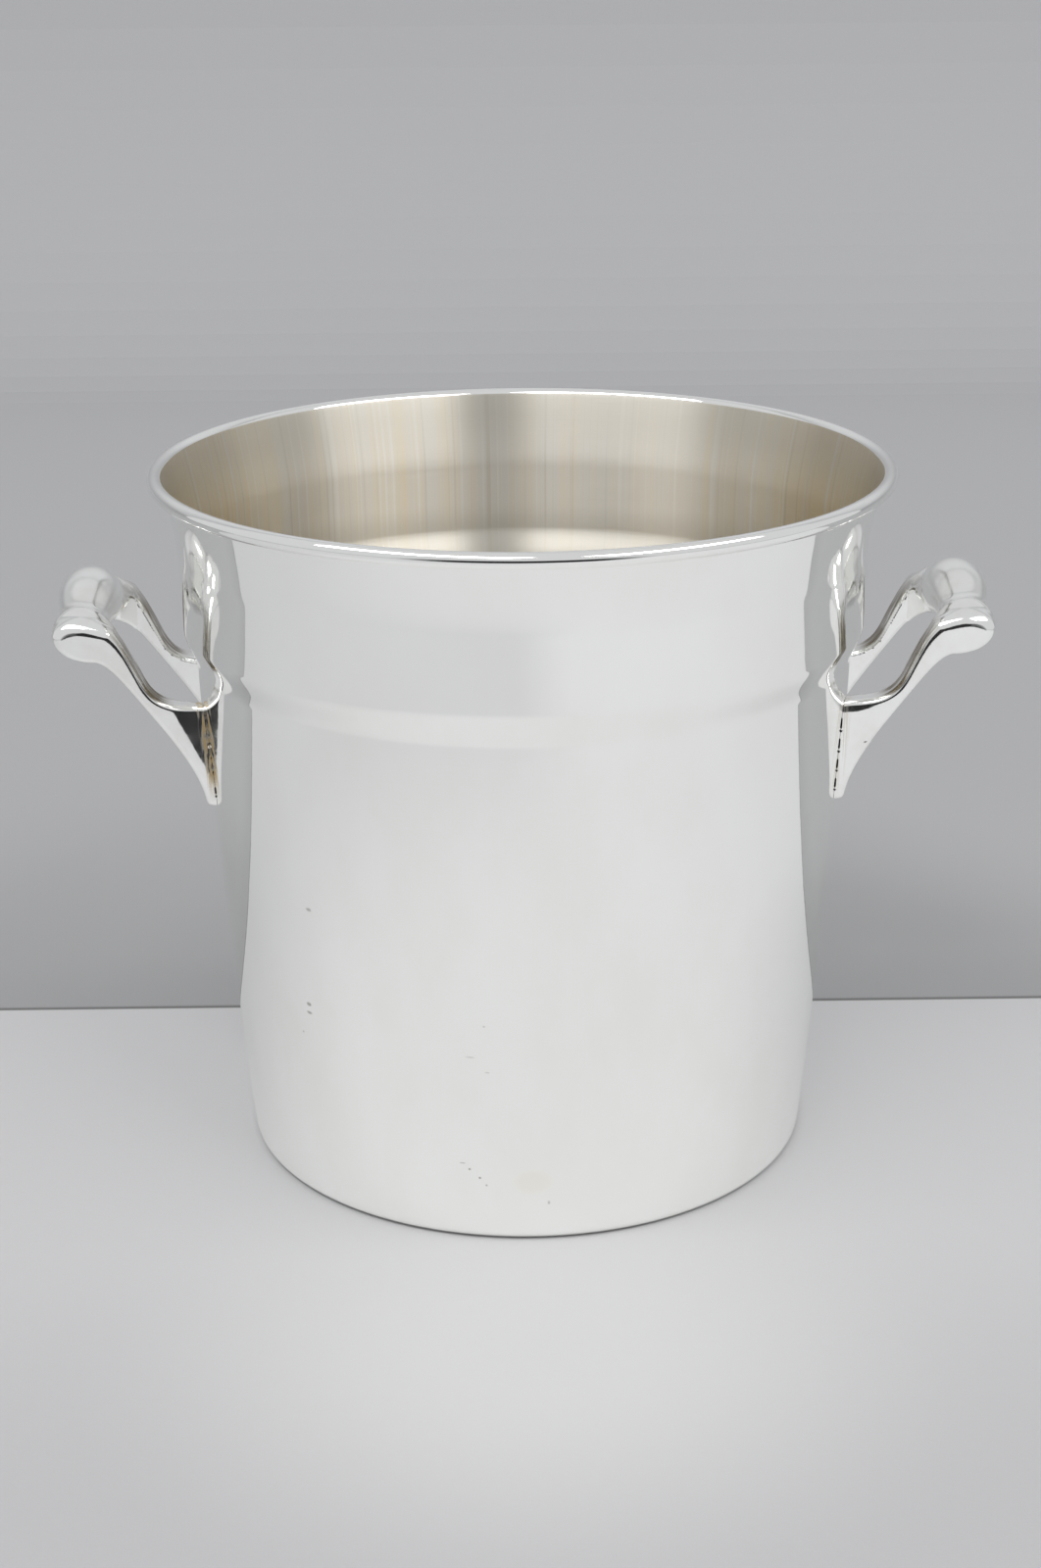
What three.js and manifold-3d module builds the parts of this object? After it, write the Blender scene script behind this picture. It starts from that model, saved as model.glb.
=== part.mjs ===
// Champagne bucket in silver plate: a spun shell whose mouth is rolled over a wire, and two handles,
// each brazed up from two cast arms and a turned barrel grip. Millimetres, +Z up, the origin on the
// table at the bucket's axis, the handles on +X and -X.
import * as THREE from 'three';
import { mergeVertices } from 'three/addons/utils/BufferGeometryUtils.js';
import Module from 'manifold-3d';

// Shell
const HEIGHT = 211.7; // table to the top of the rim
const MOUTH_DIAMETER = 220; // over the rolled rim
const BASE_DIAMETER = 173.8; // over the wall, where the bottom corner ends
const GAUGE = 1; // sheet thickness
const CORNER_RADIUS = 3; // outside, where the wall turns into the bottom
const BELLY = 0.7; // how far the lower wall bows out of a straight cone
const BOTTOM_RISE = 2.5; // the bottom is pushed up inside its resting ring
const RING_WIDTH = 8; // flat ring that the bucket stands on
const RISE_WIDTH = 6; // slope from the ring up to the raised bottom

// Shoulder, band and rim, measured down from the top
const STEP_DROP = 51.2; // to the middle of the shoulder
const STEP_SPAN = 11; // height of the shoulder
const STEP_EASE = 3.2; // length of the shoulder curve's end tangents
const STEP_OUT = 3.5; // how far the band stands out from the lower wall
const BAND_LEAN = 0.4; // how much wider the band is at its top
const FLARE_DROP = 25; // to where the band starts to flare
const FLARE_OUT = 5.6; // from the top of the band to the rim's centreline
const FLARE_PULL = 5; // length of the flare curve's end tangents
const BEAD_RADIUS = 2.3; // outside radius of the rolled rim
const BEAD_JOIN = THREE.MathUtils.degToRad(165); // where the flare runs into the roll
const EDGE_GAP = 0.3; // slit between the rolled edge and the wall
const WIRE_GAP = 0.3; // between the wire and the sheet around it

// Handles
const ARM_SPACING = 48; // between the middles of a handle's two arms
const ARM_THICKNESS = 7.6;
const ARM_ROUND = 2; // rounding of an arm's long edges
const FOOT_TOP_DROP = 67.7; // from the top of the rim down to the top of a foot
const FOOT_LENGTH = 30.3; // height of a foot against the wall
const TAIL_WIDTH = 2.2; // how far the foot's lowest point stands out from the wall
const GRIP_DROP = 41; // from the top of the rim down to the grip's axis
const GRIP_REACH = 35.2; // from the wall beside the arms out to the grip's axis
const GRIP_RADIUS = 9.5; // at the middle of the barrel
const NECK_RADIUS = 6; // where the barrel is thinnest
const NECK_INSET = 6; // from an arm's inner face to the thinnest place
const COLLAR_RADIUS = 6.4; // where the barrel meets an arm
const KNUCKLE_WIDTH = 20.6; // the arm's rounded end, seen from the side
const KNUCKLE_HEIGHT = 12.4;
const KNUCKLE_DROP = 6; // its middle lies below the grip's axis
const KNUCKLE_INSET = 2; // and nearer the wall
const KNUCKLE_TILT = THREE.MathUtils.degToRad(10); // its outer end points a little up
const JOINT_GAP = 0.3; // between pieces that are brazed together

// The arm's swan neck, as shares of the way out and up from the foot's lowest point to the knuckle's
// middle: control points of the curves under the arm and over it.
const UNDER_ARM = [[0.03, 0.2], [0.3, 0.42], [0.57, 0.65], [0.73, 0.785], [0.82, 0.86]];
const OVER_ARM = [[0.73, 1.03], [0.64, 0.93], [0.52, 0.76], [0.4, 0.6], [0.24, 0.61]];

const SHELL_SEGMENTS = 56;
const NECK_SAMPLES = 12; // along each side of the neck, to find its thinnest place
const ROUND_LIMIT = 0.45; // of the neck's thinnest place, for the rounding on each side of it
const GRIP_SEGMENTS = 20;
const FOOT_OVERLAP = 6; // how far a foot is made into the wall before it is trimmed

const beadRadiusAtCentre = MOUTH_DIAMETER / 2 - BEAD_RADIUS;
const beadHeight = HEIGHT - BEAD_RADIUS;
const bandTopRadius = beadRadiusAtCentre - FLARE_OUT;
const bandRadius = bandTopRadius - BAND_LEAN;
const wallTopRadius = bandRadius - STEP_OUT;
const stepHeight = HEIGHT - STEP_DROP;
const baseRadius = BASE_DIAMETER / 2;

const silver = { color: 0xd3d5d3, metalness: 1, roughness: 0.12 };
const wasm = await Module();
wasm.setup();

function toManifold(geometry) {
  const bare = geometry.clone();
  bare.deleteAttribute('normal');
  bare.deleteAttribute('uv');
  const merged = mergeVertices(bare, 1e-4);
  const vertProperties = new Float32Array(merged.attributes.position.array);
  const triVerts = new Uint32Array(merged.index.array);
  return new wasm.Manifold(new wasm.Mesh({ numProp: 3, vertProperties, triVerts }));
}

function toGeometry(solid) {
  const mesh = solid.getMesh();
  const geometry = new THREE.BufferGeometry();
  geometry.setAttribute('position', new THREE.BufferAttribute(mesh.vertProperties, 3));
  geometry.setIndex(new THREE.BufferAttribute(mesh.triVerts, 1));
  return geometry;
}

function part(name, geometry) {
  const mesh = new THREE.Mesh(geometry, new THREE.MeshStandardMaterial(silver));
  mesh.name = name;
  return mesh;
}

// A profile of (radius, height) points, turned about +Z.
function spin(points) {
  return new THREE.LatheGeometry(points, SHELL_SEGMENTS).rotateX(Math.PI / 2);
}

// The middle of the sheet, from the bottom's centre out, up the wall, over the rim and round the wire.
function sheetMiddle() {
  const half = GAUGE / 2;
  const ringOuter = baseRadius - CORNER_RADIUS;
  const ringInner = ringOuter - RING_WIDTH;
  const corner = CORNER_RADIUS - half;
  const stepLow = stepHeight - STEP_SPAN / 2;
  const stepHigh = stepHeight + STEP_SPAN / 2;
  const flareStart = HEIGHT - FLARE_DROP;
  const roll = BEAD_RADIUS - half;
  const joinR = beadRadiusAtCentre + roll * Math.cos(BEAD_JOIN);
  const joinZ = beadHeight + roll * Math.sin(BEAD_JOIN);
  const tuck = Math.acos((BEAD_RADIUS - GAUGE - EDGE_GAP) / BEAD_RADIUS);

  const stretches = [
    [new THREE.LineCurve(new THREE.Vector2(0, BOTTOM_RISE + half),
      new THREE.Vector2(ringInner - RISE_WIDTH, BOTTOM_RISE + half)), 1],
    [new THREE.CubicBezierCurve(new THREE.Vector2(ringInner - RISE_WIDTH, BOTTOM_RISE + half),
      new THREE.Vector2(ringInner - RISE_WIDTH / 2, BOTTOM_RISE + half),
      new THREE.Vector2(ringInner - RISE_WIDTH / 2, half), new THREE.Vector2(ringInner, half)), 3],
    [new THREE.LineCurve(new THREE.Vector2(ringInner, half), new THREE.Vector2(ringOuter, half)), 1],
    [new THREE.EllipseCurve(ringOuter, CORNER_RADIUS, corner, corner, -Math.PI / 2, 0), 3],
    [new THREE.QuadraticBezierCurve(new THREE.Vector2(baseRadius - half, CORNER_RADIUS),
      new THREE.Vector2((baseRadius + wallTopRadius) / 2 - half + 2 * BELLY, (CORNER_RADIUS + stepLow) / 2),
      new THREE.Vector2(wallTopRadius - half, stepLow)), 4],
    [new THREE.CubicBezierCurve(new THREE.Vector2(wallTopRadius - half, stepLow),
      new THREE.Vector2(wallTopRadius - half, stepLow + STEP_EASE),
      new THREE.Vector2(bandRadius - half, stepHigh - STEP_EASE),
      new THREE.Vector2(bandRadius - half, stepHigh)), 4],
    [new THREE.LineCurve(new THREE.Vector2(bandRadius - half, stepHigh),
      new THREE.Vector2(bandTopRadius - half, flareStart)), 1],
    [new THREE.CubicBezierCurve(new THREE.Vector2(bandTopRadius - half, flareStart),
      new THREE.Vector2(bandTopRadius - half, flareStart + FLARE_PULL),
      new THREE.Vector2(joinR - FLARE_PULL * Math.sin(BEAD_JOIN), joinZ + FLARE_PULL * Math.cos(BEAD_JOIN)),
      new THREE.Vector2(joinR, joinZ)), 4],
    [new THREE.EllipseCurve(beadRadiusAtCentre, beadHeight, roll, roll,
      BEAD_JOIN, BEAD_JOIN + tuck, true), 11],
  ];
  const points = [];
  for (const [curve, steps] of stretches) {
    const skip = points.length ? 1 : 0;
    points.push(...curve.getPoints(steps).slice(skip));
  }
  return points;
}

// One side of the sheet: every point of the middle line moved along its normal by the offset.
function sheetSide(middle, offset) {
  return middle.map((point, i) => {
    const before = middle[Math.max(i - 1, 0)];
    const after = middle[Math.min(i + 1, middle.length - 1)];
    const along = after.clone().sub(before).normalize();
    return new THREE.Vector2(point.x + along.y * offset, point.y - along.x * offset);
  });
}

function bodyShell() {
  const middle = sheetMiddle();
  const outside = sheetSide(middle, GAUGE / 2);
  const inside = sheetSide(middle, -GAUGE / 2).reverse();
  return part('body_shell', spin([...outside, ...inside]));
}

function rimWire() {
  const radius = BEAD_RADIUS - GAUGE - WIRE_GAP;
  return part('rim_wire', new THREE.TorusGeometry(beadRadiusAtCentre, radius, 8, SHELL_SEGMENTS)
    .translate(0, 0, beadHeight));
}

// Outer radius of the lower wall at a height, on the same curve as the sheet.
function wallRadius(height) {
  const low = CORNER_RADIUS;
  const high = stepHeight - STEP_SPAN / 2;
  const t = (height - low) / (high - low);
  const bow = 4 * BELLY * t * (1 - t);
  return baseRadius + (wallTopRadius - baseRadius) * t + bow;
}

// The room that the lower wall takes, with the braze gap all round, for trimming the arms' feet.
function wallRoom() {
  const heights = [footBottom - FOOT_OVERLAP, (footBottom + footTop) / 2, footTop + FOOT_OVERLAP];
  const radii = heights.map((height) => wallRadius(height) + JOINT_GAP);
  const points = heights.map((height, i) => new THREE.Vector2(radii[i], height));
  return toManifold(spin([new THREE.Vector2(0, heights[0]), ...points, new THREE.Vector2(0, heights.at(-1))]));
}

// Where the grip's axis lies, and the wall beside it.
const footTop = HEIGHT - FOOT_TOP_DROP;
const footBottom = footTop - FOOT_LENGTH;
const armOffset = ARM_SPACING / 2;
const wallBeside = (height) => Math.sqrt(wallRadius(height) ** 2 - armOffset ** 2);
const gripX = wallBeside(footTop) + GRIP_REACH;
const gripZ = HEIGHT - GRIP_DROP;

// Side outline of an arm in (x, z): a tall web on the wall, a swan neck, and a rounded knuckle under
// the end of the grip.
function armOutline() {
  const tail = new THREE.Vector2(wallBeside(footBottom) + TAIL_WIDTH, footBottom);
  const knuckle = new THREE.Vector2(gripX - KNUCKLE_INSET, gripZ - KNUCKLE_DROP);
  const between = ([out, up]) => [
    THREE.MathUtils.lerp(tail.x, knuckle.x, out), THREE.MathUtils.lerp(tail.y, knuckle.y, up)];
  const underEnd = THREE.MathUtils.degToRad(-110);
  const overEnd = THREE.MathUtils.degToRad(135);
  const halfWidth = KNUCKLE_WIDTH / 2;
  const halfHeight = KNUCKLE_HEIGHT / 2;
  const rim = new THREE.EllipseCurve(knuckle.x, knuckle.y, halfWidth, halfHeight, underEnd, overEnd,
    false, KNUCKLE_TILT);
  const [underStart, overStart] = [rim.getPoint(0), rim.getPoint(1)];
  const inWall = tail.x - FOOT_OVERLAP;
  const under = UNDER_ARM.map(between);
  const over = OVER_ARM.map(between);

  const shape = new THREE.Shape();
  shape.moveTo(inWall, footBottom);
  shape.lineTo(tail.x, tail.y);
  shape.bezierCurveTo(...under[0], ...under[1], ...under[2]);
  shape.bezierCurveTo(...under[3], ...under[4], underStart.x, underStart.y);
  shape.curves.push(rim);
  shape.currentPoint.copy(overStart);
  shape.bezierCurveTo(...over[0], ...over[1], ...over[2]);
  shape.bezierCurveTo(...over[3], ...over[4], inWall, footTop);
  shape.closePath();
  return shape;
}

// The thinnest place of the swan neck, between the curves under and over the arm.
function neckDepth(outline) {
  const [underNeck, overNeck] = [outline.curves[2], outline.curves[outline.curves.length - 3]];
  const under = underNeck.getPoints(NECK_SAMPLES);
  const over = overNeck.getPoints(NECK_SAMPLES);
  return Math.min(...under.flatMap((point) => over.map((other) => point.distanceTo(other))));
}

function armSolid(room) {
  const outline = armOutline();
  const round = Math.min(ARM_ROUND, neckDepth(outline) * ROUND_LIMIT);
  const depth = ARM_THICKNESS - 2 * round;
  const geometry = new THREE.ExtrudeGeometry(outline, {
    depth, curveSegments: 7, bevelEnabled: true, bevelThickness: round, bevelSize: round,
    bevelOffset: -round, bevelSegments: 2,
  });
  // The outline's plane becomes XZ, with the arm's middle at its offset on -Y.
  geometry.rotateX(Math.PI / 2).translate(0, depth / 2 - armOffset, 0);
  return toManifold(geometry).subtract(room);
}

// The barrel between the arms' inner faces: necks near both ends and a swell in the middle.
function gripSolid() {
  const half = armOffset - ARM_THICKNESS / 2 - JOINT_GAP;
  const neck = half - NECK_INSET;
  const side = new THREE.CubicBezierCurve(new THREE.Vector2(NECK_RADIUS, -neck),
    new THREE.Vector2(NECK_RADIUS, -neck / 2), new THREE.Vector2(GRIP_RADIUS, -neck / 2),
    new THREE.Vector2(GRIP_RADIUS, 0)).getPoints(6);
  const flare = new THREE.QuadraticBezierCurve(new THREE.Vector2(COLLAR_RADIUS, -half),
    new THREE.Vector2(NECK_RADIUS, -half + NECK_INSET / 3), new THREE.Vector2(NECK_RADIUS, -neck)).getPoints(3);
  const lower = [...flare, ...side.slice(1)];
  const upper = lower.slice(0, -1).reverse().map((point) => new THREE.Vector2(point.x, -point.y));
  const profile = [new THREE.Vector2(0, -half), ...lower, ...upper, new THREE.Vector2(0, half)];
  return new THREE.LatheGeometry(profile, GRIP_SEGMENTS);
}

function handle(side, turn, arm, grip) {
  const group = new THREE.Group();
  const mirrored = toGeometry(arm).scale(1, -1, 1);
  mirrored.index.array.reverse();
  const near = turn ? 'rear' : 'front';
  const far = turn ? 'front' : 'rear';
  const barrel = part(`${side}_grip`, grip.clone());
  barrel.position.set(gripX, 0, gripZ);
  group.add(part(`${side}_${near}_arm`, toGeometry(arm)), part(`${side}_${far}_arm`, mirrored), barrel);
  group.rotation.z = turn;
  return group;
}

const bucket = new THREE.Group();
const arm = armSolid(wallRoom());
const grip = gripSolid();
bucket.add(bodyShell(), rimWire(), handle('right', 0, arm, grip), handle('left', Math.PI, arm, grip));

export default bucket;
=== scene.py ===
import math

import bpy
import numpy as np
from mathutils import Matrix, Vector


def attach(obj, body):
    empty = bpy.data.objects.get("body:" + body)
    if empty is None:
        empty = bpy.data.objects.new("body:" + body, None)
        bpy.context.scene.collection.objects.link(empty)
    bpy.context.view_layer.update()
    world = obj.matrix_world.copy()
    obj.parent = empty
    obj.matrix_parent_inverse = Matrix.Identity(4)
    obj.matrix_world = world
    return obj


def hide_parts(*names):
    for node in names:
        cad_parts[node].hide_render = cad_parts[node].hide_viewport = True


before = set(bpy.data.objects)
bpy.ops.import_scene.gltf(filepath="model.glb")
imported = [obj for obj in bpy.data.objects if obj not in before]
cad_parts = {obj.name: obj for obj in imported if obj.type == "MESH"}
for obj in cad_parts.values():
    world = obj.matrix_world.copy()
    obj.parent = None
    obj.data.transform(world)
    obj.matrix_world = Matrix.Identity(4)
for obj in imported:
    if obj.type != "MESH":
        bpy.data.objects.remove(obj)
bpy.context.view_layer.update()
scene = bpy.context.scene

# ---------------------------------------------------------------------------------------------
# Body shell: one disc of nickel silver, spun over a chuck into a deep tapering cup with a stepped
# band, its mouth flared and rolled outwards over a wire. Silver plated; mirror polished outside,
# left satin from the spinning and buffing inside.
# ---------------------------------------------------------------------------------------------
MM = 0.001
HEIGHT = 211.7
BEAD_RADIUS = 2.3
BEAD_CENTRE = 110 - BEAD_RADIUS
BEAD_HEIGHT = HEIGHT - BEAD_RADIUS
BAND_TOP = 102.1
BAND_FOOT = 101.7
WALL_TOP = 98.2
BASE_RADIUS = 86.9
GAUGE = 1.0
CORNER = 3.0
BELLY = 0.7
STEP_LOW, STEP_HIGH = 155.0, 166.0
STEP_EASE = 3.2
FLARE_START = 186.7
FLARE_PULL = 5.0
BEAD_JOIN = math.radians(165)
EDGE_GAP = 0.3
RING_WIDE = 8
RING_EASE = 6
BOTTOM_LIFT = 2.5
ROLL_STEPS = 36
TURN_STEPS = 288
SHARP = math.radians(40)


def bezier(corners, steps):
    """Points of the Bezier curve on the given control points: the sum over each control point of
    its binomial weight, t to its index and (1 - t) to the rest."""
    corners = np.asarray(corners, float)
    t = np.linspace(0, 1, steps + 1)[:, None]
    order = len(corners) - 1
    weights = [math.comb(order, i) * t ** i * (1 - t) ** (order - i) for i in range(order + 1)]
    return sum(w * c for w, c in zip(weights, corners))


def arc(centre, radius, start, end, steps):
    """Points at centre + radius (cos a, sin a), as a goes from start to end."""
    a = np.linspace(start, end, steps + 1)
    return np.stack([centre[0] + radius * np.cos(a), centre[1] + radius * np.sin(a)], 1)


def sheet_line():
    """The middle of the sheet as (radius, height): raised bottom, resting ring, corner, bowed wall,
    shoulder, band, flare, and the roll round the wire, each stretch starting where the last ended."""
    half = GAUGE / 2
    ring_out = BASE_RADIUS - CORNER
    ring_in = ring_out - RING_WIDE
    rise = ring_in - RING_EASE
    up = BOTTOM_LIFT + half
    roll = BEAD_RADIUS - half
    join = (BEAD_CENTRE + roll * math.cos(BEAD_JOIN), BEAD_HEIGHT + roll * math.sin(BEAD_JOIN))
    pull = (join[0] - FLARE_PULL * math.sin(BEAD_JOIN), join[1] + FLARE_PULL * math.cos(BEAD_JOIN))
    tuck = math.acos((BEAD_RADIUS - GAUGE - EDGE_GAP) / BEAD_RADIUS)
    bow = ((BASE_RADIUS + WALL_TOP) / 2 - half + 2 * BELLY, (CORNER + STEP_LOW) / 2)
    stretches = [
        bezier([(0, up), (rise, up)], 8),
        bezier([(rise, up), (rise + RING_EASE / 2, up), (ring_in - RING_EASE / 2, half),
                (ring_in, half)], 12),
        bezier([(ring_in, half), (ring_out, half)], 3),
        arc((ring_out, CORNER), CORNER - half, -math.pi / 2, 0, 8),
        bezier([(BASE_RADIUS - half, CORNER), bow, (WALL_TOP - half, STEP_LOW)], 26),
        bezier([(WALL_TOP - half, STEP_LOW), (WALL_TOP - half, STEP_LOW + STEP_EASE),
                (BAND_FOOT - half, STEP_HIGH - STEP_EASE), (BAND_FOOT - half, STEP_HIGH)], 22),
        bezier([(BAND_FOOT - half, STEP_HIGH), (BAND_TOP - half, FLARE_START)], 6),
        bezier([(BAND_TOP - half, FLARE_START), (BAND_TOP - half, FLARE_START + FLARE_PULL),
                pull, join], 18),
        arc((BEAD_CENTRE, BEAD_HEIGHT), roll, BEAD_JOIN, BEAD_JOIN + tuck - 2 * math.pi,
            ROLL_STEPS),
    ]
    return np.concatenate([s if i == 0 else s[1:] for i, s in enumerate(stretches)])


def beside(line, offset):
    """Each point of the line moved by the offset along the line's own normal there, which is at
    right angles to the chord between its two neighbours."""
    chord = np.empty_like(line)
    chord[1:-1] = line[2:] - line[:-2]
    chord[0], chord[-1] = line[1] - line[0], line[-1] - line[-2]
    chord /= np.linalg.norm(chord, axis=1)[:, None]
    return line + offset * np.stack([chord[:, 1], -chord[:, 0]], 1)


def turned(profile, steps, closed):
    """Surface swept by a (radius, height) profile about +Z: (r cos a, r sin a, z). A closed profile
    joins its last point to its first; otherwise its ends lie on the axis and become poles."""
    a = np.linspace(0, 2 * np.pi, steps, endpoint=False)
    rows = profile if closed else profile[1:-1]
    r, z = rows[:, 0:1], rows[:, 1:2]
    points = np.stack([r * np.cos(a), r * np.sin(a), z + 0 * a], 2).reshape(-1, 3)
    n = len(rows)
    i = np.arange(n if closed else n - 1)[:, None]
    j = np.arange(steps)[None, :]
    k, m = (j + 1) % steps, (i + 1) % n
    quads = np.stack([i * steps + j, i * steps + k, m * steps + k, m * steps + j], 2).reshape(-1, 4)
    faces = quads.tolist()
    if not closed:
        low, high = len(points), len(points) + 1
        ends = [[0, 0, profile[0, 1]], [0, 0, profile[-1, 1]]]
        points = np.concatenate([points, ends])
        ring, after = np.arange(steps), (np.arange(steps) + 1) % steps
        top = (n - 1) * steps
        faces += np.stack([after, ring, np.full(steps, low)], 1).tolist()
        faces += np.stack([top + ring, top + after, np.full(steps, high)], 1).tolist()
    return points, faces


def piece(name, points, faces, material, stands_for):
    """A smooth mesh object from points in millimetres, riding with the bucket."""
    mesh = bpy.data.meshes.new(name)
    mesh.from_pydata((np.asarray(points) * MM).tolist(), [], faces)
    mesh.shade_smooth()
    mesh.set_sharp_from_angle(angle=SHARP)
    mesh.materials.append(material)
    made = bpy.data.objects.new(name, mesh)
    scene.collection.objects.link(made)
    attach(made, "root")
    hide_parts(*stands_for)
    return made


class Level:
    """A number that varies over a surface. Arithmetic on it adds the Math nodes of that sum."""

    def __init__(self, finish, socket):
        self.finish, self.socket = finish, socket

    def math(self, operation, *values):
        node = self.finish.node("ShaderNodeMath", {"operation": operation}, dict(enumerate(values)))
        return Level(self.finish, node.outputs[0])

    def __add__(self, other):
        return self.math("ADD", self, other)

    def __sub__(self, other):
        return self.math("SUBTRACT", self, other)

    def __rsub__(self, other):
        return self.math("SUBTRACT", other, self)

    def __mul__(self, other):
        return self.math("MULTIPLY", self, other)

    def __truediv__(self, other):
        return self.math("DIVIDE", self, other)

    def __pow__(self, other):
        return self.math("POWER", self, other)

    __radd__, __rmul__ = __add__, __mul__

    def step(self, low, high):
        """0 below low, 1 above high, and a smooth rise between them."""
        node = self.finish.node("ShaderNodeMapRange", {"interpolation_type": "SMOOTHSTEP"},
                                {"Value": self, "From Min": low, "From Max": high})
        return Level(self.finish, node.outputs["Result"])

    def fall(self, low, high):
        """1 below low, 0 above high, and a smooth fall between them."""
        return (0.0 - self).step(-high, -low)

    def size(self):
        """The number without its sign."""
        return (self * self) ** 0.5


class Finish:
    """A metal finish: a material with one Principled shader, built up node by node."""

    def __init__(self, name, metallic=1.0):
        self.material = bpy.data.materials.new(name)
        self.material.use_nodes = True
        self.tree = self.material.node_tree
        self.tree.nodes.clear()
        self.shader = self.node("ShaderNodeBsdfPrincipled", {}, {"Metallic": metallic})
        self.node("ShaderNodeOutputMaterial", {}, {"Surface": self.shader.outputs[0]})
        self.place = self.node("ShaderNodeTexCoord", {}, {}).outputs["Object"]
        parts = self.node("ShaderNodeSeparateXYZ", {}, {0: self.place})
        self.x, self.y, self.z = (Level(self, s) for s in parts.outputs)

    def give(self, socket, value):
        """Link a socket to a level or another socket, or set it to a plain value."""
        if isinstance(value, Level):
            value = value.socket
        if isinstance(value, bpy.types.NodeSocket):
            self.tree.links.new(value, socket)
        else:
            socket.default_value = value

    def node(self, kind, settings, inputs):
        """A node of a type, with its settings made first and then its sockets given."""
        made = self.tree.nodes.new(kind)
        for key, value in settings.items():
            setattr(made, key, value)
        for key, value in inputs.items():
            self.give(made.inputs[key], value)
        return made

    def vector(self, x, y, z):
        return self.node("ShaderNodeCombineXYZ", {}, {0: x, 1: y, 2: z}).outputs[0]

    def noise(self, vector, scale, detail=2.0, rough=0.5):
        made = self.node("ShaderNodeTexNoise", {},
                         {"Vector": vector, "Scale": scale, "Detail": detail, "Roughness": rough})
        return Level(self, made.outputs[0])

    def mix(self, share, one, other):
        made = self.node("ShaderNodeMix", {"data_type": "RGBA"}, {0: share, 6: one, 7: other})
        return made.outputs[2]

    def bump(self, height, distance, strength=1.0):
        made = self.node("ShaderNodeBump", {},
                         {"Height": height, "Distance": distance, "Strength": strength})
        return made.outputs[0]

    def feed(self, **sockets):
        for key, value in sockets.items():
            self.give(self.shader.inputs[key.replace("_", " ")], value)


# Outside: bright plate with faint turning lines, wiping marks and a few pits through the silver.
PLATE = (0.975, 0.98, 0.965, 1)
PLATE_DULL = (0.93, 0.925, 0.90, 1)
PIT = (0.16, 0.13, 0.09, 1)
BLUSH = (0.93, 0.80, 0.62, 1)

outside = Finish("silver_shell_polished")
reach = (outside.x * outside.x + outside.y * outside.y) ** 0.5
east, north = outside.x / reach, outside.y / reach
turning = outside.noise(outside.vector(east * 1.5, north * 1.5, outside.z * 420), 1.0, 3.0, 0.6)
wiping = outside.noise(outside.vector(east * 5, north * 5, outside.z * 26), 1.0, 4.0, 0.55)
cloud = outside.noise(outside.place, 14.0, 5.0, 0.62)
grain = outside.noise(outside.place, 900.0, 2.0, 0.6)
band = outside.z.step(0.160, 0.166)
haze = (cloud - 0.5) * 0.35 + (wiping - 0.5) * 0.5

# (angle round from the front towards +X, height, half width, half height, depth of colour)
PITS = [(-41.1, 98.5, 1.3, 0.7, 0.5), (-43.4, 67.2, 1.2, 0.8, 0.65), (-43.5, 64.4, 1.4, 0.6, 0.6),
        (-45.8, 57.0, 0.4, 0.5, 0.5), (-10.6, 60.9, 1.7, 0.25, 0.35), (-7.6, 56.2, 0.9, 0.3, 0.3),
        (-12.7, 25.6, 1.1, 0.25, 0.5), (-11.4, 23.7, 0.5, 0.5, 0.6), (-9.5, 21.0, 0.55, 0.5, 0.65),
        (-8.3, 18.6, 0.45, 0.45, 0.5), (3.4, 12.9, 0.5, 0.8, 0.4), (-8.0, 71.0, 0.5, 0.4, 0.3)]


def spot(angle, height, wide, high):
    """1 in the middle of an ellipse on the wall, and 0 outside it. Along is how far round it is from
    the middle, and ahead is above 0 only on the ellipse's own side of the bucket."""
    c, s = math.cos(math.radians(angle)), math.sin(math.radians(angle))
    along = (outside.x * c + outside.y * s) / (wide * MM)
    up = (outside.z - height * MM) / (high * MM)
    ahead = outside.x * s - outside.y * c
    return (2.0 - (along * along + up * up)).step(1.0, 1.9) * ahead.step(0.0, 0.01)


marks = sum((spot(*p[:4]) * p[4] for p in PITS[1:]), spot(*PITS[0][:4]) * PITS[0][4])
ragged = outside.noise(outside.place, 2600.0, 2.0, 0.6)
marks = marks * (ragged * 1.4 + 0.2)
blush = spot(0.4, 20.0, 7.0, 5.0) * 0.22
silver_tone = outside.mix((haze + 0.18).step(0.0, 0.55), PLATE, PLATE_DULL)
silver_tone = outside.mix(blush, silver_tone, BLUSH)
outside.feed(
    Base_Color=outside.mix(marks, silver_tone, PIT),
    Roughness=(turning - 0.5) * 0.02 + (cloud - 0.5) * 0.03 + band * 0.01 + marks * 0.3 + 0.035,
    Normal=outside.bump(turning * 0.3 + wiping * 1.0 + grain * 0.02, 0.00003),
)

# Inside: satin, brushed round and round, warmed by thin tarnish stains. Its colour also carries
# painted light and shade: bright and dark reflection streaks running up and down, warmth towards
# both sides that is partly painted shade, and painted shade low in the cup and under the lip.
inside = Finish("silver_shell_satin")
reach = (inside.x * inside.x + inside.y * inside.y) ** 0.5
east, north = inside.x / reach, inside.y / reach
brush = inside.noise(inside.vector(east * 2, north * 2, inside.z * 1800), 1.0, 3.0, 0.7)
stain = inside.noise(inside.vector(east * 11 + 4.0, north * 11, inside.z * 3), 1.0, 3.0, 0.5)
SATIN = (0.90, 0.875, 0.825, 1)
TARNISH_AND_SHADE_WARM = (0.95, 0.83, 0.615, 1)
PAINTED_SATIN_SHADE = (0.58, 0.55, 0.48, 1)
PAINTED_GLINT = (0.98, 0.96, 0.91, 1)
PAINTED_DARK_STREAK = (0.60, 0.53, 0.40, 1)
# Painted reflection streaks: fine vertical threads of painted highlight and painted dark reflection.
painted_streak = inside.noise(inside.vector(east * 34, north * 34, inside.z * 2), 1.0, 3.0, 0.65)
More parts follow.
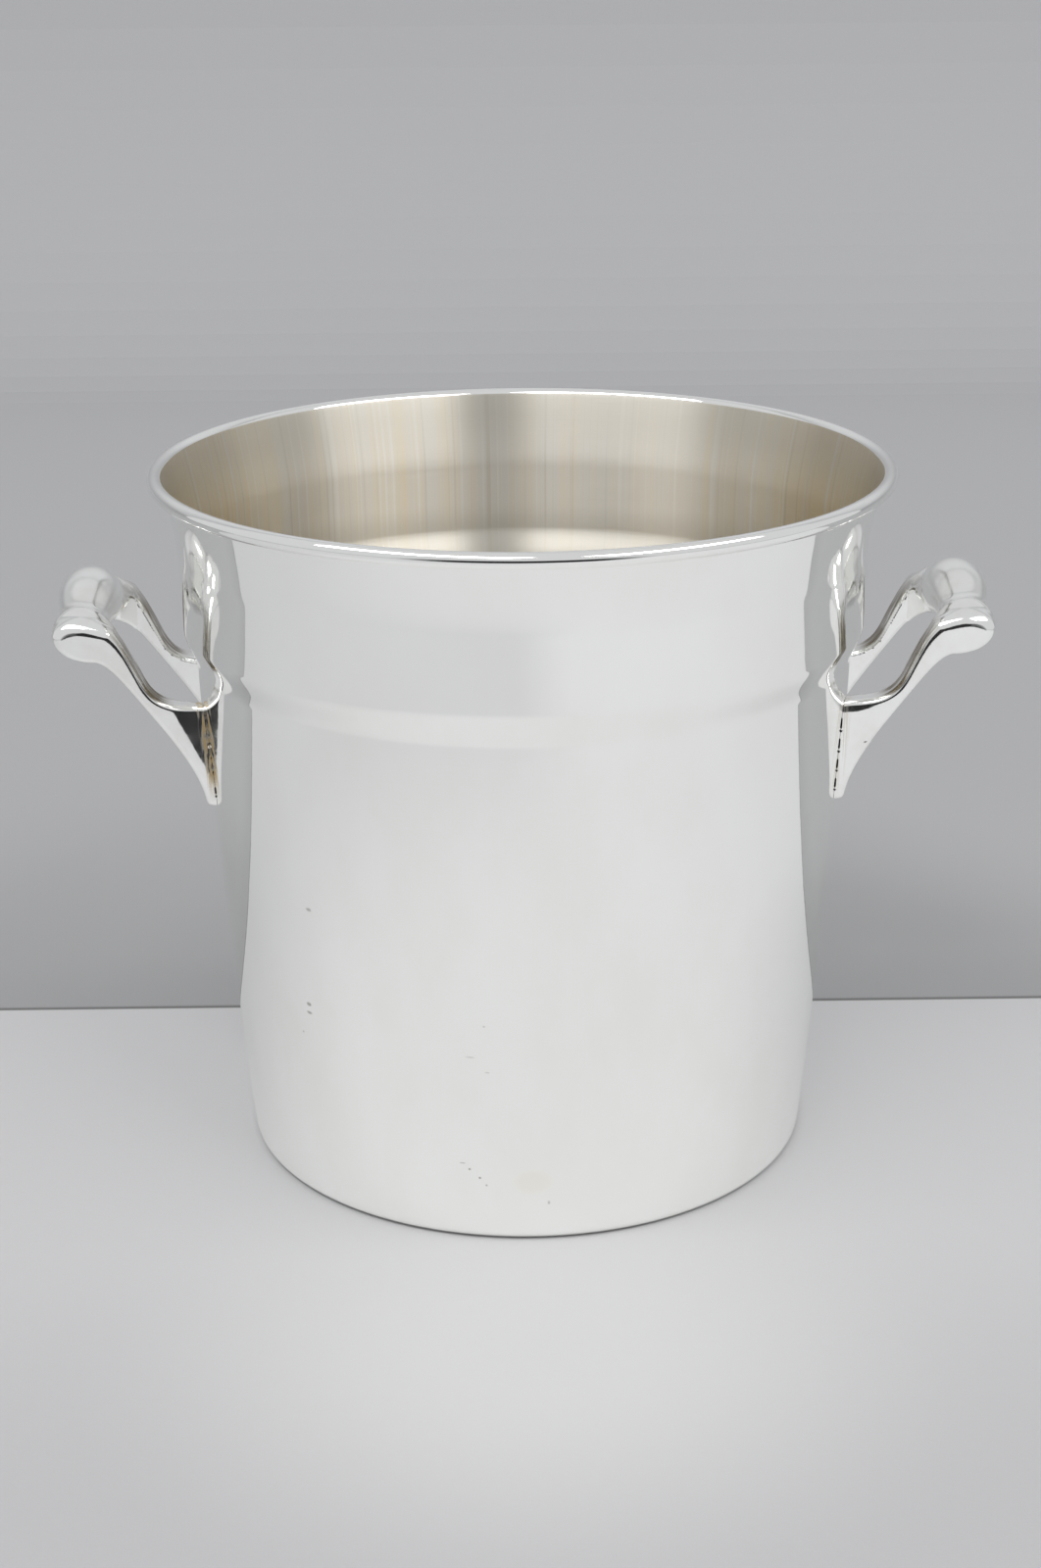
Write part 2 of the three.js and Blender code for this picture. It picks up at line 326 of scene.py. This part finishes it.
painted_threads = inside.noise(inside.vector(east * 75, north * 75, inside.z * 1.5), 1.0, 2.0, 0.5)
# Warmth from tarnish stains and the painted streaks, plus warmth towards both sides that is partly
# tarnish and partly painted shade.
tarnish_and_side_shade = (east * east).step(0.2, 0.95) * 0.6 + (stain - 0.5) * 1.1 + (painted_streak - 0.5) * 0.9 + 0.2
# Painted shade: darker low in the cup and under the lip.
painted_cup_shade = inside.z.fall(0.160, 0.176) * 0.75 + inside.z.step(0.182, 0.206) * 0.60
satin_tone = inside.mix(tarnish_and_side_shade.step(0.0, 1.0), SATIN, TARNISH_AND_SHADE_WARM)
satin_tone = inside.mix(painted_threads.step(0.58, 0.68) * 0.7, satin_tone, PAINTED_GLINT)
satin_tone = inside.mix(painted_threads.step(0.30, 0.42) * -0.25 + 0.25, satin_tone, PAINTED_DARK_STREAK)
inside.feed(
    Base_Color=inside.mix(painted_cup_shade, satin_tone, PAINTED_SATIN_SHADE),
    Roughness=(brush - 0.5) * 0.12 + 0.36,
    Normal=inside.bump(brush, 0.00002),
    Anisotropic=0.95, Anisotropic_Rotation=0.25,
)

middle = sheet_line()
outer, inner = beside(middle, GAUGE / 2), beside(middle, -GAUGE / 2)
# The centre of the bottom is kept on the axis as a tiny ring closed by poles on both sheets.
outer[0], inner[0] = (0, outer[1, 1]), (0, inner[1, 1])
section = np.concatenate([outer, inner[::-1]])
points, faces = turned(section, TURN_STEPS, closed=False)
shell = piece("bucket_shell", points, faces, outside.material, ["body_shell"])
shell.data.materials.append(inside.material)
# The satin starts where the inner side of the sheet leaves the roll.
rows = np.minimum(np.arange(len(shell.data.polygons)) // TURN_STEPS, len(section) - 3)
satin = rows >= len(outer) + ROLL_STEPS - 2
shell.data.polygons.foreach_set("material_index", satin.astype(np.int32))

# ---------------------------------------------------------------------------------------------
# Rim wire: a ring of drawn brass wire that keeps the mouth round. The edge of the sheet is rolled
# over it, which holds it without solder and hides it.
# ---------------------------------------------------------------------------------------------
WIRE_RADIUS = 1.0
WIRE_STEPS, WIRE_TURN_STEPS = 16, 144
BRASS, BRASS_LIGHT = (0.62, 0.42, 0.16, 1), (0.75, 0.55, 0.25, 1)
brass = Finish("brass_wire")
drawn = brass.noise(brass.place, 300.0, 3.0, 0.6)
brass.feed(Base_Color=brass.mix(drawn, BRASS, BRASS_LIGHT),
           Roughness=(drawn - 0.5) * 0.2 + 0.35, Normal=brass.bump(drawn, 0.00003))
circle = arc((BEAD_CENTRE, BEAD_HEIGHT), WIRE_RADIUS, 0, 2 * math.pi, WIRE_STEPS)[:-1]
points, faces = turned(circle, WIRE_TURN_STEPS, closed=True)
piece("rim_wire_ring", points, faces, brass.material, ["rim_wire"])

# ---------------------------------------------------------------------------------------------
# Handles: each is two cast swan-neck arms and a barrel grip, brazed together and to the wall, then
# filed, polished and plated as one. The arm's foot stands upright on the wall.
# ---------------------------------------------------------------------------------------------
ARM_MIDDLE = 24.0
ARM_HALF = 3.8
ARM_ROUND = 1.5
KNOB_ROUND = 4.2
FOOT_LOW, FOOT_TOP = 113.7, 144.0
GRIP_X, GRIP_Z = 129.6, 170.7
KNUCKLE_X, KNUCKLE_Z = 127.6, 164.7
KNUCKLE_WIDE, KNUCKLE_HIGH, KNUCKLE_TILT = 10.3, 6.2, math.radians(10)
KNUCKLE_FULLER = 1.6
SEAM = 20.05
SEAM_GAP = 0.05
KNUCKLE_START, KNUCKLE_END = math.radians(-110), math.radians(135)
TAIL_PROUD = 2.2
BEHIND_WALL = 12
SWELL_RADIUS, NECK_RADIUS, NECK_Y = 9.5, 6.4, 20.0
CONE_Y, CONE_FALL = 20.3, 2.0
END_DROP = 3.6
MELT = 5.0
SCOOP_X, SCOOP_Z, SCOOP_CLIMB, SCOOP_DEPTH = 91.4, 118.4, 2.11, 0.115
EASE_X, EASE_LONG, EASE_WIDE, EASE_DEPTH = 97.0, 16.0, 3.5, 0.13
# Each pair is a control point's share of the way from the tail to the knuckle, along x and up z.
UNDER_ARM = [(0.03, 0.2), (0.3, 0.42), (0.57, 0.65), (0.73, 0.785), (0.82, 0.86)]
OVER_ARM = [(0.73, 1.03), (0.64, 0.93), (0.52, 0.76), (0.4, 0.6), (0.24, 0.61)]
CAST_STEP = 0.4


def wall_reach(z):
    """Outer radius of the lower wall at a height: the straight taper and the bow 4 b t (1 - t)."""
    t = (z - CORNER) / (STEP_LOW - CORNER)
    return BASE_RADIUS + (WALL_TOP - BASE_RADIUS) * t + 4 * BELLY * t * (1 - t)


def arm_outline():
    """Closed side outline of an arm in (x, z): under the neck, round the knuckle, over the neck."""
    wall_x = math.sqrt(wall_reach(FOOT_LOW) ** 2 - ARM_MIDDLE ** 2)
    tail = np.array([wall_x + TAIL_PROUD, FOOT_LOW])
    knuckle = np.array([KNUCKLE_X, KNUCKLE_Z])
    share = lambda pairs: [tail + (knuckle - tail) * p for p in np.array(pairs)]
    under, over = share(UNDER_ARM), share(OVER_ARM)
    a = np.linspace(KNUCKLE_START, KNUCKLE_END, 90)
    wide, high = KNUCKLE_WIDE * np.cos(a), KNUCKLE_HIGH * np.sin(a)
    c, s = math.cos(KNUCKLE_TILT), math.sin(KNUCKLE_TILT)
    knob = knuckle + np.stack([wide * c - high * s, wide * s + high * c], 1)
    inner_low, inner_top = (tail[0] - BEHIND_WALL, FOOT_LOW), (tail[0] - BEHIND_WALL, FOOT_TOP)
    heel = bezier([tail, *under[:3]], 60)[6:]
    stretches = [
        bezier([inner_low, tail - (2.6, 0)], 4),
        bezier([tail - (2.6, 0), tail + (-0.2, 0), tail + (0.1, 0.8), heel[0]], 12), heel,
        bezier([under[2], *under[3:], knob[0]], 40), knob,
        bezier([knob[-1], *over[:3]], 50),
        bezier([over[2], *over[3:], (tail[0] - 6, FOOT_TOP)], 50),
        bezier([(tail[0] - 6, FOOT_TOP), inner_top], 4),
    ]
    return np.concatenate([s[:-1] for s in stretches] + [stretches[-1][-1:]])


def outline_distance(x, z, outline):
    """Signed distance from (x, z) to the closed outline, negative inside: the least distance to any
    of its sides, with the sign of the crossing count of a ray along +x."""
    shape = x.shape
    p = np.stack([x.ravel(), z.ravel()], 1)
    a, b = outline, np.roll(outline, -1, 0)
    best = np.full(len(p), 1e9)
    crossings = np.zeros(len(p), int)
    for start, end in zip(a, b):
        side, off = end - start, p - start
        length = side @ side
        if length < 1e-12:
            continue
        t = np.clip(off @ side / length, 0, 1)
        best = np.minimum(best, ((off - t[:, None] * side) ** 2).sum(1))
        straddles = (start[1] > p[:, 1]) != (end[1] > p[:, 1])
        with np.errstate(divide="ignore", invalid="ignore"):
            cut = start[0] + (p[:, 1] - start[1]) * side[0] / side[1]
        crossings += straddles & (p[:, 0] < cut)
    return (np.sqrt(best) * np.where(crossings % 2, -1, 1)).reshape(shape)


def tabled(outline, low, high, step):
    """The outline's distance sampled on a grid, and read back at any (x, z) as the mean of the four
    nearest samples, each weighted by how near it is."""
    xs, zs = np.arange(low[0], high[0], step), np.arange(low[1], high[1], step)
    samples = outline_distance(*np.meshgrid(xs, zs, indexing="ij"), outline)

    def read(x, z):
        across = np.clip((x - low[0]) / step, 0, len(xs) - 1.001)
        up = np.clip((z - low[1]) / step, 0, len(zs) - 1.001)
        i, j = across.astype(int), up.astype(int)
        a, b = across - i, up - j
        return ((samples[i, j] * (1 - a) + samples[i + 1, j] * a) * (1 - b)
                + (samples[i, j + 1] * (1 - a) + samples[i + 1, j + 1] * a) * b)

    return read


def melt(a, b, k):
    """Smooth union of two distances: the smaller one, less h h k / 4 where they are within k."""
    h = np.maximum(k - np.abs(a - b), 0) / k
    return np.minimum(a, b) - h * h * k / 4


def eased(value, start, length):
    """0 before start and 1 after start + length, with the curve t t (3 - 2 t) between them."""
    t = np.clip((value - start) / length, 0, 1)
    return t * t * (3 - 2 * t)


def bent_up(above, blend):
    """0 for a point below, the point itself above, turning smoothly: (a + sqrt(a a + blend)) / 2."""
    return (above + np.sqrt(above * above + blend)) / 2


def grip_reach(y):
    """Radius of the barrel at a distance from its middle: it eases from its swell to its necks."""
    return SWELL_RADIUS + (NECK_RADIUS - SWELL_RADIUS) * eased(np.abs(y), 0, NECK_Y)


def scooped_foot(x, z, flat):
    """Depth of the left front foot's scoop: it starts at a line that runs up from the tail, turns
    smoothly into a slope, and deepens towards the wall."""
    above = z - SCOOP_Z - (x - SCOOP_X) * SCOOP_CLIMB
    return SCOOP_DEPTH * bent_up(above, 0.8) * (x < 112) * (z > 112)


def eased_foot(x, z, flat):
    """Depth of the other feet's easing: a slope along the upper edge that narrows up the neck."""
    above = flat + EASE_WIDE * (1 - eased(x, EASE_X, EASE_LONG)) - 0.4
    return EASE_DEPTH * bent_up(above, 0.3) * (x < 116) * (z > 132)


def handle_distance(x, y, z, scoop):
    """Distance to the whole handle, before it is cut into its pieces. An arm is its flat outline
    given a thickness, with edges that are rounder on top of the knuckle; deeper is what the knuckle
    gains on its inner side. The barrel is turned, with coned ends that sink into the knuckles."""
    out = np.abs(y)
    flat = flat_at(x, z)
    recess = scoop(x, z, flat) / 2
    crown = np.clip((z - 160.0) / 7.0, 0, 1)
    soft = ARM_ROUND + (KNOB_ROUND - ARM_ROUND) * eased(x, 114.0, 12.0) * crown
    deeper = KNUCKLE_FULLER * np.clip((x - 118.5) / 5.0, 0, 1)
    qx = flat + soft
    qy = np.abs(out - ARM_MIDDLE + recess + deeper) - (ARM_HALF - recess - soft + deeper)
    arm = np.hypot(np.maximum(qx, 0), np.maximum(qy, 0)) + np.minimum(np.maximum(qx, qy), 0) - soft
    ring = np.hypot(x - GRIP_X, z - GRIP_Z + END_DROP * eased(out, 6, 14.0))
    cone = (ring - NECK_RADIUS + CONE_FALL * (out - CONE_Y)) / math.sqrt(1 + CONE_FALL ** 2)
    barrel = -melt(grip_reach(y) - ring, -cone, 1.2)
    return melt(arm, barrel, MELT)


def skinned(field, low, step):
    """Closed surface where a sampled field is zero: one point in each grid cell that it crosses, at
    the mean of its crossings on the cell's edges, and one quad round each crossed grid edge."""
    cells = np.array(field.shape) - 1
    total, count = np.zeros((cells.prod(), 3)), np.zeros(cells.prod())
    quads = []
    for axis in range(3):
        b, c = (axis + 1) % 3, (axis + 2) % 3
        near = np.take(field, range(field.shape[axis] - 1), axis)
        far = np.take(field, range(1, field.shape[axis]), axis)
        spot = np.argwhere((near < 0) != (far < 0))
        n, f = near[tuple(spot.T)], far[tuple(spot.T)]
        place = spot.astype(float)
        place[:, axis] += n / (n - f)
        around = []
        for db, dc in ((0, 0), (1, 0), (1, 1), (0, 1)):
            cell = spot.copy()
            cell[:, b] -= db
            cell[:, c] -= dc
            index = np.ravel_multi_index(cell.T, cells)
            for k in range(3):
                total[:, k] += np.bincount(index, place[:, k], len(count))
            count += np.bincount(index, minlength=len(count))
            around.append(index)
        ring = np.stack(around, 1)
        quads.append(np.where((n < 0)[:, None], ring, ring[:, ::-1]))
    used = np.flatnonzero(count)
    number = np.zeros(len(count), int)
    number[used] = np.arange(len(used))
    points = total[used] / count[used][:, None] * step + low
    return points, number[np.concatenate(quads)]


def settled(points, skin, cut, passes=4, reach=0.05):
    """Points moved on to the surface: each pass takes off a distance along its gradient, which is
    the difference of the distance a little way along each axis. A point that is within half a step
    of both surfaces goes to the edge where they meet."""
    for _ in range(passes):
        for one, other in ((skin, cut), (cut, skin)):
            here = one(*points.T)
            slope = np.stack([one(*(points + reach * e).T) - one(*(points - reach * e).T)
                              for e in np.eye(3)], 1) / (2 * reach)
            share = here / np.maximum((slope ** 2).sum(1), 0.2)
            share = share * (here > other(*points.T) - CAST_STEP / 2)
            points = points - slope * share[:, None]
    return points


def cast(low, high, scoop, cut):
    """Skin of the handle's distance inside a box, cut by one more distance."""
    low = np.array(low)
    axes = [np.arange(a, b + CAST_STEP, CAST_STEP) for a, b in zip(low, high)]
    grid = np.meshgrid(*axes, indexing="ij")
    skin = lambda x, y, z: handle_distance(x, y, z, scoop)
    points, quads = skinned(np.maximum(skin(*grid), cut(*grid)), low, CAST_STEP)
    return settled(points, skin, cut), quads


def arm_cut(x, y, z):
    """An arm ends at the seam with the grip, and a hair from the wall."""
    return np.maximum(y + SEAM, wall_reach(z) + SEAM_GAP - np.hypot(x, y))


def grip_cut(x, y, z):
    """The grip ends at both seams."""
    return np.abs(y) - (SEAM - SEAM_GAP)


# Each box holds one casting, with a little room round it.
OUTLINE_BOX = (84.0, 108.0), (146.0, 186.0)
ARM_BOX = (88.0, -29.85, 111.0), (141.0, -19.0, 183.0)
GRIP_BOX = (108.0, -21.0, 150.0), (142.0, 21.0, 183.0)
flat_at = tabled(arm_outline(), *OUTLINE_BOX, CAST_STEP / 2)
arms = {scoop: cast(*ARM_BOX, scoop, arm_cut) for scoop in (scooped_foot, eased_foot)}
grip_points, grip_quads = cast(*GRIP_BOX, eased_foot, grip_cut)

# Bright plate with brown left in the wall joints' fibrous braze lines, dark brown on faces that
# turn inward and up in the crook of each neck, and barrels that hands have dulled.
BRAZE = (0.52, 0.39, 0.20, 1)
CROOK = (0.20, 0.165, 0.11, 1)
# How far the wall bows out at the height of the feet.
FOOT_BOW = 4 * BELLY * MM * 0.2
handle_finish = Finish("silver_handle_polished")
mottle = handle_finish.noise(handle_finish.place, 160.0, 4.0, 0.6)
blotch = handle_finish.noise(handle_finish.place, 45.0, 3.0, 0.5)
x, y, z = handle_finish.x, handle_finish.y, handle_finish.z
reach = (x * x + y * y) ** 0.5
taper = (z - CORNER * MM) * (WALL_TOP - BASE_RADIUS) / (STEP_LOW - CORNER) + BASE_RADIUS * MM
from_wall = reach - taper - FOOT_BOW
fibres = handle_finish.noise(handle_finish.vector(x * 1500, y * 1500, z * 60), 1.0, 2.0, 0.5)
braze = from_wall.fall(0.0010, 0.0026) * fibres.step(0.40, 0.56)
braze = braze * z.step(0.114, 0.126) * z.fall(0.149, 0.153) * (x.fall(-0.01, 0.0) * 0.75 + 0.25)
facing = handle_finish.node("ShaderNodeNewGeometry", {}, {}).outputs["Normal"]
turn = handle_finish.node("ShaderNodeSeparateXYZ", {}, {0: facing})
lean, rise = Level(handle_finish, turn.outputs[0]), Level(handle_finish, turn.outputs[2])
inward = (lean * x / reach).fall(-0.6, -0.15) * rise.step(0.15, 0.5)
flow = handle_finish.noise(handle_finish.vector(x * 60, y * 900, z * 60), 1.0, 3.0, 0.6)
# Darker brown where faces turn inward and up, below the barrels.
crook = inward * flow.step(0.30, 0.54) * z.fall(0.160, 0.172)
held = y.size().fall(0.013, 0.020) * reach.step(0.114, 0.119)
silver = handle_finish.mix((mottle * 0.5 + blotch * 0.5).step(0.42, 0.68), PLATE, PLATE_DULL)
handle_finish.feed(
    Base_Color=handle_finish.mix(crook, handle_finish.mix(braze, silver, BRAZE), CROOK),
    Metallic=1.0 - braze * 0.6 - crook * 0.25,
    Roughness=(mottle - 0.5) * 0.10 + 0.085 + crook * 0.15 + braze * 0.12 + held * 0.12,
    Normal=handle_finish.bump(mottle * 0.25 + blotch, 0.00012),
)

# The front right arm and the right grip are mirrored into the others. One mirroring turns a skin
# inside out, so its faces are wound the other way round.
for side, sign in (("right", 1), ("left", -1)):
    for end, front in (("front", 1), ("rear", -1)):
        arm_points, arm_quads = arms[scooped_foot if (side, end) == ("left", "front") else eased_foot]
        quads = arm_quads if sign * front > 0 else arm_quads[:, ::-1]
        piece(f"{side}_{end}_swan_arm", arm_points * (sign, front, 1), quads.tolist(),
              handle_finish.material, [f"{side}_{end}_arm"])
    quads = grip_quads if sign > 0 else grip_quads[:, ::-1]
    piece(f"{side}_barrel_grip", grip_points * (sign, 1, 1), quads.tolist(),
          handle_finish.material, [f"{side}_grip"])

# ---------------------------------------------------------------------------------------------
# Stage: a pale table sheet that ends behind the bucket, and a grey backdrop beyond it, all on one
# surface that curves up from floor to wall.
# ---------------------------------------------------------------------------------------------
SHEET_EDGE = 0.076
STAGE_HALF = 3.0
WALL_BEHIND, WALL_HIGH, CURVE = 1.5, 2.8, 0.35
POOL_BEHIND = 0.14
# Table and backdrop tones; they paint the stage's light and shade.
PAINTED_LIGHT_POOL = (0.575, 0.572, 0.575, 1)
TABLE_FRONT_SHADE, TABLE_BACK = (0.445, 0.443, 0.45, 1), (0.585, 0.583, 0.59, 1)
EDGE_SHADOW_LINE = (0.16, 0.16, 0.16, 1)
SHADE_BEYOND_EDGE = (0.35, 0.35, 0.355, 1)
FLOOR_BEHIND, WALL_FOOT = (0.38, 0.38, 0.385, 1), (0.46, 0.46, 0.47, 1)
WALL_UPPER = (0.70, 0.70, 0.71, 1)


def staged(name, points, faces, finish, only_reflected=False):
    """A surface of the stage. One that is only reflected shows in the polish and nowhere else."""
    mesh = bpy.data.meshes.new(name)
    mesh.from_pydata(points, [], faces)
    mesh.materials.append(finish.material)
    made = bpy.data.objects.new(name, mesh)
    scene.collection.objects.link(made)
    if only_reflected:
        made.visible_camera = made.visible_diffuse = made.visible_shadow = False


# The paper's tones paint light and shade: a pool of light round the bucket, shade towards the front,
# a shadow line along the sheet's edge, shade just beyond it, and a backdrop darker low down and
# lighter up high.
paper = Finish("stage_paper", metallic=0.0)
fibre = paper.noise(paper.place, 700.0, 3.0, 0.6)
spread = (paper.x * paper.x + (paper.y + POOL_BEHIND) * (paper.y + POOL_BEHIND)) ** 0.5
# Painted shade: the table darker towards the front.
painted_front_shade = paper.mix(paper.y.step(-0.24, 0.06), TABLE_FRONT_SHADE, TABLE_BACK)
# Painted light: a paler pool round the bucket.
near_tone = paper.mix(spread.step(0.02, 0.13), PAINTED_LIGHT_POOL, painted_front_shade)
# Painted shade: the backdrop darker low down and lighter up high, and darker just beyond the edge.
far_tone = paper.mix(paper.y.step(0.1, 1.2), FLOOR_BEHIND, WALL_FOOT)
far_tone = paper.mix(paper.y.step(SHEET_EDGE, SHEET_EDGE + 0.05), SHADE_BEYOND_EDGE, far_tone)
# Painted shadow: a thin dark line along the sheet's edge.
far_tone = paper.mix(paper.y.step(SHEET_EDGE + 0.001, SHEET_EDGE + 0.003), EDGE_SHADOW_LINE, far_tone)
far_tone = paper.mix(paper.z.step(0.28, 1.05), far_tone, WALL_UPPER)
tone = paper.mix(paper.y.step(SHEET_EDGE - 0.0006, SHEET_EDGE + 0.0006), near_tone, far_tone)
paper.feed(Base_Color=tone, Roughness=0.75, Normal=paper.bump(fibre, 0.0001, 0.5))

sweep = arc((WALL_BEHIND - CURVE, CURVE), CURVE, -math.pi / 2, 0, 16)
floor_line = np.concatenate([[(-STAGE_HALF, 0.0), (SHEET_EDGE, 0.0), (WALL_BEHIND - CURVE, 0.0)],
                             sweep[1:], [(WALL_BEHIND, WALL_HIGH)]])
depth, rise = np.repeat(floor_line, 2, axis=0).T
grid = np.stack([np.tile([-STAGE_HALF, STAGE_HALF], len(floor_line)), depth, rise], 1)
k = np.arange(len(floor_line) - 1)
floor_faces = np.stack([2 * k, 2 * k + 1, 2 * k + 3, 2 * k + 2], 1)
staged("floor", grid.tolist(), floor_faces.tolist(), paper)


# ---------------------------------------------------------------------------------------------
# Light: two wide soft boxes overhead in a pale grey room. A dark felt card stands in front, faded out
# towards its sides and top, and a bright sheet lies on the table; both show only in the polish.
# ---------------------------------------------------------------------------------------------
def soft_box(name, place, size, power, aim=(0, 0, 0.05)):
    """A rectangular light that faces a point, and isn't itself in view."""
    light = bpy.data.lights.new(name, "AREA")
    light.shape = "RECTANGLE"
    light.size, light.size_y = size
    light.energy = power
    made = bpy.data.objects.new(name, light)
    back = np.array(place) - np.array(aim)
    made.rotation_euler = Vector(-back).to_track_quat("-Z", "Y").to_euler()
    made.location = place
    made.visible_camera = False
    scene.collection.objects.link(made)


BOX_SIZE, BOX_POWER = (2.0, 0.6), 20.5
soft_box("box_left", (-0.8, -0.9, 1.95), BOX_SIZE, BOX_POWER)
soft_box("box_right", (1.35, -0.9, 1.95), BOX_SIZE, BOX_POWER)

CARD_HALF, CARD_HIGH, CARD_Y = 0.62, 0.37, -0.8
FELT, FELT_NAP = (0.015, 0.015, 0.015, 1), (0.03, 0.03, 0.03, 1)
felt = Finish("stage_felt", metallic=0.0)
nap = felt.noise(felt.place, 200.0)
felt.feed(Base_Color=felt.mix(nap, FELT, FELT_NAP), Roughness=0.9,
          Alpha=felt.x.size().fall(0.26, CARD_HALF) * felt.z.fall(0.31, CARD_HIGH))
staged("dark_card", [(-CARD_HALF, CARD_Y, 0.0), (CARD_HALF, CARD_Y, 0.0),
                     (CARD_HALF, CARD_Y, CARD_HIGH), (-CARD_HALF, CARD_Y, CARD_HIGH)],
       [(0, 1, 2, 3)], felt, only_reflected=True)

SHEET_HALF, SHEET_LIFT = 1.5, 0.0004
# Sheet tones that paint light and shade into the polish: a lighter middle round the bucket, shade to
# the left.
SHEET_LIT_MIDDLE = (0.61, 0.61, 0.61, 1)
SHEET_SHADED_LEFT, SHEET_RIGHT = (0.52, 0.52, 0.525, 1), (0.60, 0.60, 0.605, 1)
foil = Finish("stage_sheet", metallic=0.0)
away = (foil.x * foil.x + (foil.y + POOL_BEHIND) * (foil.y + POOL_BEHIND)) ** 0.5
sheet_side_shade = foil.mix(foil.x.step(-0.05, 0.15), SHEET_SHADED_LEFT, SHEET_RIGHT)
foil.feed(Base_Color=foil.mix(away.step(0.10, 0.40), SHEET_LIT_MIDDLE, sheet_side_shade), Roughness=0.8)
staged("bright_sheet", [(-SHEET_HALF, -SHEET_HALF, SHEET_LIFT), (SHEET_HALF, -SHEET_HALF, SHEET_LIFT),
                        (SHEET_HALF, SHEET_EDGE, SHEET_LIFT), (-SHEET_HALF, SHEET_EDGE, SHEET_LIFT)],
       [(0, 1, 2, 3)], foil, only_reflected=True)

world = bpy.data.worlds.new("room")
scene.world = world
world.use_nodes = True
room = world.node_tree.nodes["Background"]
room.inputs["Color"].default_value = (0.5, 0.505, 0.51, 1)
room.inputs["Strength"].default_value = 1.28
scene.view_settings.view_transform = "Standard"

# ---------------------------------------------------------------------------------------------
# Camera: at table distance, looking down on the mouth.
# ---------------------------------------------------------------------------------------------
CAMERA_PLACE = (-0.0077, -0.7372, 0.377)
LOOKING_DOWN, TURNED, ROLLED = math.radians(19.92), math.radians(-0.5), -0.0081
lens = bpy.data.cameras.new("camera")
lens.lens = 58.39
lens.sensor_width = 36
camera = bpy.data.objects.new("camera", lens)
scene.collection.objects.link(camera)
camera.matrix_world = (Matrix.Translation(CAMERA_PLACE)
                       @ Matrix.Rotation(TURNED, 4, "Z")
                       @ Matrix.Rotation(math.pi / 2 - LOOKING_DOWN, 4, "X")
                       @ Matrix.Rotation(ROLLED, 4, "Z"))
scene.camera = camera

bpy.context.view_layer.update()
